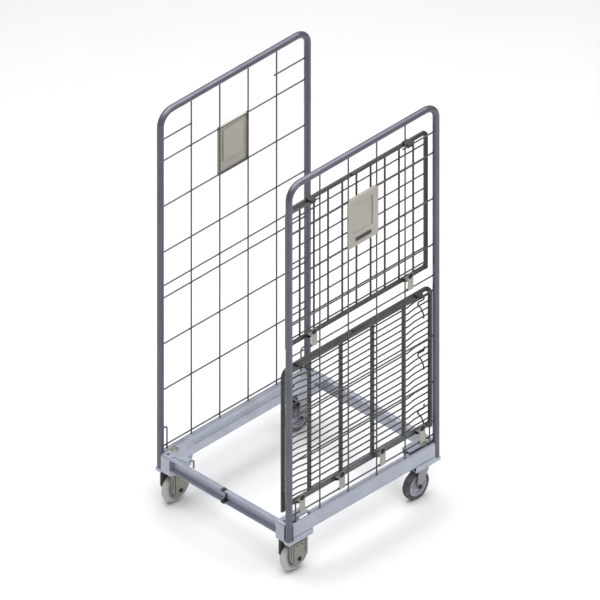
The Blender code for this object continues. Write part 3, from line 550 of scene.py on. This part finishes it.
def wheel(end, side, sign):
    centre = (sign * CASTER_X, WHEEL_YS[end], WHEEL_R)
    body = f"{end}_{side}_wheel"
    tread = [(HUB_R + 0.0002, -TYRE_HALF), (WHEEL_R - 0.010, -TYRE_HALF), (WHEEL_R - 0.0065, -0.0143),
             (WHEEL_R - 0.0035, -0.0122), (WHEEL_R - 0.0014, -0.0088), (WHEEL_R - 0.0003, -0.0045),
             (WHEEL_R, 0)]
    tread += [(radius, -along) for radius, along in tread[-2::-1]]
    bm = bmesh.new()
    turned(bm, tread, "X", centre, 96, True)
    rubber, slot = (PALE_RUBBER, "pale_rubber") if end == "front" else (DARK_RUBBER, "dark_rubber")
    piece(f"{end}_{side}_tread", bm, body, rubber, [f"{end}_{side}_tyre"])
    disc = [(0.0064, -0.0142), (0.0165, -0.0142), (0.0178, -0.0130), (0.0190, -0.0075), (0.0205, -0.0062)]
    disc += [(0.0340, -0.0062), (0.0358, -0.0075), (0.0368, -0.0125), (0.0380, -0.0134)]
    disc += [(0.0400, -0.0134), (0.0405, -0.0128), (0.0412, -0.0128), (0.0417, -0.0134), (HUB_R, -0.0134)]
    disc += [(radius, -along) for radius, along in disc[::-1]]
    bm = bmesh.new()
    turned(bm, disc, "X", centre, 96, True)
    for i in range(6):
        angle = 2 * math.pi * i / 6
        for way in (-1, 1):
            spot = Vector(centre) + Vector((way * 0.0066, 0.0272 * math.cos(angle), 0.0272 * math.sin(angle)))
            dish = [(0.0056, 0.0), (0.0056, way * 0.0012), (0.0046, way * 0.0019), (0.0030, way * 0.0010)]
            turned(bm, dish, "X", spot, 24)
    piece(f"{end}_{side}_wheel_disc", bm, body, HUB_NYLON, [f"{end}_{side}_hub"])
    bolt(end, side, centre)


def bolt(end, side, centre):
    """The axle: a shank, and outside each cheek a washer, a hexagon and a domed end."""
    reach = CHEEK_OUT[end] + GAP
    bm = bmesh.new()
    turned(bm, [(0.0059, -reach), (0.0059, reach)], "X", centre, 32)
    washer = [(0.0092, 0.0), (0.0092, 0.0010), (0.0085, 0.0013)]
    nut = [(0.0084, 0.0013), (0.0084, 0.0042), (0.0072, 0.0048)]
    tip = [(0.0044, 0.0045), (0.0042, 0.0050), (0.0030, 0.0053)]
    for way in (-1, 1):
        for profile, sides in ((washer, 40), (nut, 6), (tip, 24)):
            turned(bm, [(radius, way * (reach + out)) for radius, out in profile], "X", centre, sides)
    body = "base" if end == "front" else f"rear_{side}_swivel"
    piece(f"{end}_{side}_axle_bolt", bm, body, BOLT_STEEL, [f"{end}_{side}_axle"])


def stem(side, sign, end):
    """The bolt that holds a caster, with its rivet-like cap in the bracket's round seat."""
    x, y = sign * CASTER_X, ENDS[end] * KINGPIN_Y
    if end == "front":
        head = CASTER_TOP - HOUSING_SHEET - GAP - STEM_HEAD
    else:
        head = CASTER_TOP - GAP - RACE_HEIGHT - CROWN_HEIGHT - GAP - STEM_HEAD
    profile = [(0.0120, head), (0.0130, head + 0.0008)]
    profile += [(0.0130, head + STEM_HEAD), (0.0079, head + STEM_HEAD)]
    if end == "rear":
        low = CASTER_TOP - RACE_HEIGHT
        profile += [(0.0079, low), (0.0255, low), (0.0270, low + 0.0012), (0.0270, low + 0.0030)]
        profile += [(0.0262, low + 0.0034), (0.0262, low + 0.0040), (0.0270, low + 0.0044)]
        profile += [(0.0270, low + 0.0070), (0.0079, low + 0.0070)]
    profile += [(0.0079, 0.2310), (0.0172, 0.2310), (0.0180, 0.2318), (0.0180, 0.2346), (0.0172, 0.2356)]
    profile += [(0.0150, 0.2362), (0.0125, 0.2360), (0.0115, 0.2350), (0.0095, 0.2348), (0.0085, 0.2357)]
    profile += [(0.0060, 0.2362)]
    node = f"front_{side}_stem" if end == "front" else f"rear_{side}_kingpin"
    bm = bmesh.new()
    turned(bm, profile, "Z", (x, y, 0), 48)
    piece(f"{end}_{side}_stem_bolt", bm, "base", PRESSED, [node])


def housing_eyelets():
    """Two small eyelets near the top of each cheek of the fixed casters."""
    bm = bmesh.new()
    for sign in SIDES.values():
        for face in (-1, 1):
            for y in (-0.012, 0.012):
                centre = (sign * CASTER_X + face * 0.0344, WHEEL_YS["front"] + y, 0.126)
                ring = [(0.0036, 0.0), (0.0036, face * 0.0008), (0.0028, face * 0.0012)]
                ring += [(0.0018, face * 0.0008), (0.0016, face * 0.0002)]
                turned(bm, ring, "X", centre, 20)
    piece("housing_eyelets", bm, "base", BOLT_STEEL)


# ---- deck and shelf -------------------------------------------------------------------------------

def flat_bar():
    return soft_rectangle(FRAME_THICK / 2, FRAME_WIDTH / 2, 0.0015)


def cross_piece(bm, ends, levels):
    """A straight flat bar between two end bars."""
    middle = (levels[0] + levels[1]) / 2
    section = soft_rectangle(FRAME_THICK / 2 - 0.0004, (levels[1] - levels[0]) / 2, 0.0015)
    bar(bm, [(FOLD_X, -ends, middle), (FOLD_X, ends, middle)], [section], (1, 0, 0))


def weld_seam(bm, y, z, half):
    """A bead across the corner between two bars."""
    for x in (FRAME_IN + 0.0007, FRAME_OUT - 0.0007):
        nugget(bm, (x, y, z), (0.0010, half, 0.0030))


def deck_frame():
    bm = bmesh.new()
    crest = DECK_TOP - FRAME_WIDTH / 2
    corners = [(-DECK_END_Y, DECK_TAIL), (-DECK_END_Y, crest), (DECK_END_Y, crest), (DECK_END_Y, DECK_TAIL)]
    path = [(FOLD_X, y, z) for y, z in rounded(corners, DECK_CORNER, 14)]
    bar(bm, path, [flat_bar()], (1, 0, 0))
    cross_piece(bm, DECK_TOP_BAR_END, DECK_TOP_BAR)
    piece("deck_bent_frame", bm, "deck", DARK_STEEL, ["deck_frame"])
    bm = bmesh.new()
    cross_piece(bm, DECK_END_Y - FRAME_WIDTH / 2 + 0.0005, DECK_BAR)
    for way in (-1, 1):
        for z in DECK_BAR:
            weld_seam(bm, way * (DECK_END_Y - FRAME_WIDTH / 2), z, 0.0016)
    piece("deck_bottom_bar", bm, "deck", BOTTOM_BAR)


def deck_grid():
    bm = bmesh.new()
    low, high = DECK_BAR[1], DECK_TOP_BAR[0]
    section = soft_rectangle(FRAME_THICK / 2, 0.008, 0.0012)
    for y in DECK_SLAT_YS:
        bar(bm, [(FOLD_X, y, low), (FOLD_X, y, high)], [section], (1, 0, 0))
    inner, outer = DECK_WIRE_BEND
    out_x = FRAME_OUT + WIRE_R - 0.001
    end_x = FOLD_X - 0.001
    end = DECK_END_Y - FRAME_WIDTH / 2 + 0.0005
    for z in DECK_WIRE_ZS:
        line = [(end_x, -end, z), (end_x, -outer, z), (out_x, -inner, z), (out_x, inner, z)]
        line += [(end_x, outer, z), (end_x, end, z)]
        rod(bm, rounded(line, 0.030, 5), WIRE_R, (0, 0, 1), 14)
        for y in DECK_SLAT_YS:
            nugget(bm, (out_x - 0.0022, y, z), (0.0022, 0.0062, 0.0042))
        for way in (-1, 1):
            nugget(bm, (end_x, way * end, z), (0.0038, 0.0020, 0.0038))
    piece("deck_slats_and_wires", bm, "deck", DARK_STEEL, ["deck_grid"])


def deck_springs():
    """Zigzags of bent wire that lie on the deck wires near their rear ends."""
    x = FOLD_X - 0.001 + WIRE_R + GAP + SPRING_R
    low, high = DECK_BAR[1] + SPRING_R, DECK_TOP_BAR[0] - SPRING_R
    bends = [(0.004, 0.049), (0.002, 0.032), (-0.027, 0.033), (-0.031, 0.024), (-0.012, -0.004)]
    bends += [(0.0, -0.035), (0.002, -0.056)]
    for i, z in enumerate(SPRING_ZS, 1):
        line = [(x, SPRING_Y + across, min(max(z + up, low), high)) for across, up in bends]
        bm = bmesh.new()
        rod(bm, rounded(line, 0.003, 6), SPRING_R, (1, 0, 0), 16)
        piece(f"deck_zigzag_{i}", bm, "deck", SPRING_STEEL, [f"deck_spring_{i}"], 0.0005)


def shelf_frame():
    bm = bmesh.new()
    corners = [(-SHELF_END_Y, SHELF_FOOT), (-SHELF_END_Y, SHELF_CREST)]
    corners += [(SHELF_END_Y, SHELF_CREST), (SHELF_END_Y, SHELF_FOOT)]
    path = [(FOLD_X, y, z) for y, z in rounded(corners, SHELF_CORNER, 12)]
    bar(bm, path, [flat_bar()], (1, 0, 0))
    end = SHELF_END_Y - FRAME_WIDTH / 2
    cross_piece(bm, end + 0.0005, SHELF_BAR)
    for way in (-1, 1):
        weld_seam(bm, way * end, SHELF_BAR[1], 0.0016)
    piece("shelf_bent_frame", bm, "shelf", DARK_STEEL, ["shelf_frame"])


def shelf_grid():
    bm = bmesh.new()
    low, high = SHELF_BAR[1], SHELF_CREST - FRAME_WIDTH / 2
    end = SHELF_END_Y - FRAME_WIDTH / 2 + 0.0005
    wire_x = FOLD_X + 0.0055
    for y in SHELF_ROD_YS:
        rod(bm, [(FOLD_X, y, low), (FOLD_X, y, high)], SHELF_ROD_R, (1, 0, 0))
        nugget(bm, (FOLD_X, y, low + 0.001), (0.0044, 0.0052, 0.0026))
        nugget(bm, (FOLD_X, y, high - 0.001), (0.0044, 0.0052, 0.0026))
    for z in SHELF_WIRE_ZS:
        rod(bm, [(wire_x, -end, z), (wire_x, end, z)], WIRE_R, (1, 0, 0), 14)
        for y in SHELF_ROD_YS:
            nugget(bm, (FOLD_X + 0.0032, y, z), (0.0024, 0.0046, 0.0040))
        for way in (-1, 1):
            nugget(bm, (wire_x - 0.001, way * end, z), (0.0040, 0.0020, 0.0040))
    piece("shelf_rods_and_wires", bm, "shelf", DARK_STEEL, ["shelf_grid"])


def hinge_clip(name, node, y, bar_z, wire_z, body):
    """A round-headed plate hooked under the wire, its foot on the bottom bar, and a dark stepped boss."""
    play = WIRE_R + 0.0004
    face = HINGE_X + play
    back = face + HINGE_SHEET
    half = HINGE_WIDTH / 2
    eye_z = wire_z + HINGE_EYE_RISE
    bm = bmesh.new()
    prism(bm, [(y - half, wire_z), (y + half, wire_z), *arc((y, eye_z), half, 0, 180, 24)], "X", face, back)
    hook = arc((HINGE_X, wire_z), play, 0, -200, 18)
    prism(bm, thickened(hook, HINGE_SHEET), "Y", y - half, y + half)
    top = bar_z + HINGE_FOOT
    seat = FRAME_OUT + GAP
    foot = rounded([(face + 0.001, top), (seat, top), (seat, bar_z - HINGE_FOOT)], 0.0015, 4)
    prism(bm, thickened(foot, HINGE_SHEET), "Y", y - half + 0.002, y + half - 0.002)
    piece(name, bm, body, CLIP_STEEL, [node], 0.0003)
    bm = bmesh.new()
    boss = [(0.0128, -0.0010), (0.0128, 0.0006), (0.0120, 0.0010), (0.0080, 0.0012), (0.0076, 0.0032)]
    boss.append((0.0066, 0.0040))
    turned(bm, boss, "X", (back, y, eye_z), 40)
    piece(f"{name}_boss", bm, body, BOLT_STEEL)


def deck_catch(name, node, y, z):
    """A small moulded catch on the outer face of the top bar, open to a wire of the panel."""
    seat = FRAME_OUT + GAP
    back = HINGE_X - CATCH_MOUTH
    outline = [(seat, z + 0.0065), (CATCH_TIP - 0.001, z + 0.0065), (CATCH_TIP, z + CATCH_MOUTH)]
    outline += [(back, z + CATCH_MOUTH), (back, z - CATCH_MOUTH), (CATCH_TIP, z - CATCH_MOUTH)]
    outline += [(CATCH_TIP - 0.001, z - 0.0065), (seat, z - 0.0065)]
    bm = bmesh.new()
    prism(bm, outline, "Y", y - 0.010, y + 0.010)
    for shift in (-0.005, 0.0, 0.005):
        block(bm, (seat + 0.003, back - 0.003), (y + shift - 0.0010, y + shift + 0.0010),
              (z + 0.006, z + 0.0071))
    piece(name, bm, "deck", BLACK_PLASTIC, [node], 0.0005)


def shelf_catch(name, node, y):
    """A moulded catch that caps the top bar, with a mouth for the wire and three finger ribs."""
    seat = FRAME_OUT + GAP
    cap = SHELF_TOP + 0.0045
    back = HINGE_X - CATCH_MOUTH
    outline = [(FRAME_IN, SHELF_TOP + GAP), (FRAME_IN, cap - 0.002), (FRAME_IN + 0.002, cap)]
    outline += [(CATCH_TIP - 0.003, cap), (CATCH_TIP, cap - 0.003)]
    outline += [(CATCH_TIP, STUB_Z + CATCH_MOUTH), (back, STUB_Z + CATCH_MOUTH)]
    outline += [(back, STUB_Z - CATCH_MOUTH), (CATCH_TIP - 0.001, STUB_Z - CATCH_MOUTH)]
    outline += [(CATCH_TIP - 0.004, STUB_Z - 0.008), (seat, STUB_Z - 0.010), (seat, SHELF_TOP + GAP)]
    bm = bmesh.new()
    prism(bm, outline, "Y", y - 0.013, y + 0.013)
    for shift in (-0.007, 0.0, 0.007):
        block(bm, (FRAME_IN + 0.004, CATCH_TIP - 0.005), (y + shift - 0.0012, y + shift + 0.0012),
              (cap - 0.001, cap + 0.0007))
    piece(name, bm, "shelf", BLACK_PLASTIC, [node], 0.0006)


def grip(name, node, length, bar_top, body):
    """A slim moulded finger grip with a ribbed face."""
    seat = FRAME_OUT + GAP
    outline = [(seat, bar_top - 0.010), (seat + 0.006, bar_top - 0.010), (seat + 0.009, bar_top - 0.007)]
    outline += [(seat + 0.009, bar_top - 0.002), (seat + 0.007, bar_top), (seat, bar_top)]
    bm = bmesh.new()
    prism(bm, outline, "Y", -length / 2, length / 2)
    ribs = int(length / RIB_PITCH) - 1
    for i in range(ribs):
        y = (i - (ribs - 1) / 2) * RIB_PITCH
        block(bm, (seat + 0.0075, seat + 0.0098), (y - 0.0009, y + 0.0009),
              (bar_top - 0.0068, bar_top - 0.0022))
    piece(name, bm, body, BLACK_PLASTIC, [node], 0.0006)


# ---- studio ---------------------------------------------------------------------------------------

VIEW_CENTRE = Vector((0.0048, 0.0048, 0.9145))
VIEW_WIDTH = 2.274
VIEW_AZIMUTH = math.radians(45.0)
VIEW_ELEVATION = math.atan(1 / math.sqrt(2))
VIEW_DISTANCE = 8.0
LIT_POINT = (0.0, 0.0, 0.9)
WORLD_LIGHT = 0.25


def floor():
    bm = bmesh.new()
    bmesh.ops.create_grid(bm, x_segments=2, y_segments=2, size=20.0)
    mesh = bpy.data.meshes.new("studio_floor")
    bm.to_mesh(mesh)
    bm.free()
    mesh.materials.append(floor_finish())
    obj = bpy.data.objects.new("studio_floor", mesh)
    bpy.context.scene.collection.objects.link(obj)


def camera():
    away = Vector((math.cos(VIEW_ELEVATION) * math.sin(VIEW_AZIMUTH),
                   -math.cos(VIEW_ELEVATION) * math.cos(VIEW_AZIMUTH), math.sin(VIEW_ELEVATION)))
    data = bpy.data.cameras.new("camera")
    data.type = "ORTHO"
    data.ortho_scale = VIEW_WIDTH
    data.clip_end = 60.0
    obj = bpy.data.objects.new("camera", data)
    obj.location = VIEW_CENTRE + away * VIEW_DISTANCE
    obj.rotation_euler = (-away).to_track_quat("-Z", "Y").to_euler()
    bpy.context.scene.collection.objects.link(obj)
    bpy.context.scene.camera = obj


def softbox(name, place_at, size, power, colour):
    """A square light aimed at the middle of the cage, its size in metres and its power in watts."""
    data = bpy.data.lights.new(name, "AREA")
    data.shape = "SQUARE"
    data.size = size
    data.energy = power
    data.color = colour
    obj = bpy.data.objects.new(name, data)
    obj.location = place_at
    obj.rotation_euler = (Vector(LIT_POINT) - Vector(place_at)).to_track_quat("-Z", "Y").to_euler()
    bpy.context.scene.collection.objects.link(obj)


def studio():
    floor()
    camera()
    softbox("overhead", (0.0, 0.0, 5.5), size=7.0, power=560.0, colour=(1.0, 1.0, 1.0))
    softbox("side", (5.0, 0.8, 2.2), size=3.0, power=60.0, colour=(0.97, 0.98, 1.0))
    softbox("front", (-1.0, -5.0, 1.6), size=3.0, power=8.0, colour=(1.0, 0.99, 0.98))
    world = bpy.data.worlds.new("studio")
    world.use_nodes = True
    world.node_tree.nodes["Background"].inputs["Color"].default_value = (0.97, 0.98, 1.0, 1.0)
    world.node_tree.nodes["Background"].inputs["Strength"].default_value = WORLD_LIGHT
    bpy.context.scene.world = world
    bpy.context.scene.view_settings.view_transform = "Standard"


# ---- the whole cage -------------------------------------------------------------------------------

def kept_nodes():
    for side in SIDES:
        keep(f"{side}_card_holder", CARD_PAINT, 0.0004)
        keep(f"{side}_card_strip", BLACK_PLASTIC, 0.0003)
        keep(f"front_{side}_bracket", ZINC_SHEET, 0.0006)
        keep(f"rear_{side}_bracket", ZINC_SHEET, 0.0006)
        keep(f"front_{side}_housing", PRESSED, 0.0006)
        keep(f"rear_{side}_fork", FORK_STEEL, 0.0006)
    keep("left_ledge", ZINC_SHEET, 0.0005)
    keep("ledge_pin", PRESSED)
    keep("crossbar_clip", BLACK_PLASTIC, 0.0006)


def main():
    kept_nodes()
    for side, sign in SIDES.items():
        panel_tube(side, sign)
        panel_wires(side, sign)
        rail(side, sign)
        for end in ENDS:
            wheel(end, side, sign)
            stem(side, sign, end)
    for end, way in ENDS.items():
        crossbar(end, way)
    bracket_fasteners()
    housing_eyelets()
    deck_frame()
    deck_grid()
    deck_springs()
    for i, y in enumerate(DECK_HINGE_YS, 1):
        hinge_clip(f"deck_spring_clip_{i}", f"deck_hinge_clip_{i}", y, DECK_BAR_Z,
                   BOTTOM_WIRE_Z["right"], "deck")
    for end, y in DECK_CATCH_YS.items():
        deck_catch(f"deck_{end}_snap", f"deck_{end}_catch", y, DECK_CATCH_Z)
    grip("deck_finger_grip", "deck_grip", DECK_GRIP, DECK_TOP, "deck")
    shelf_frame()
    shelf_grid()
    for end, y in zip(ENDS, SHELF_HINGE_YS):
        hinge_clip(f"shelf_{end}_spring_clip", f"shelf_{end}_hinge_clip", y, SHELF_BAR_Z,
                   MIDDLE_WIRE_Z["right"], "shelf")
        shelf_catch(f"shelf_{end}_snap", f"shelf_{end}_catch", ENDS[end] * SHELF_CATCH_Y)
    grip("shelf_finger_grip", "shelf_grip", SHELF_GRIP, SHELF_TOP, "shelf")
    studio()


main()
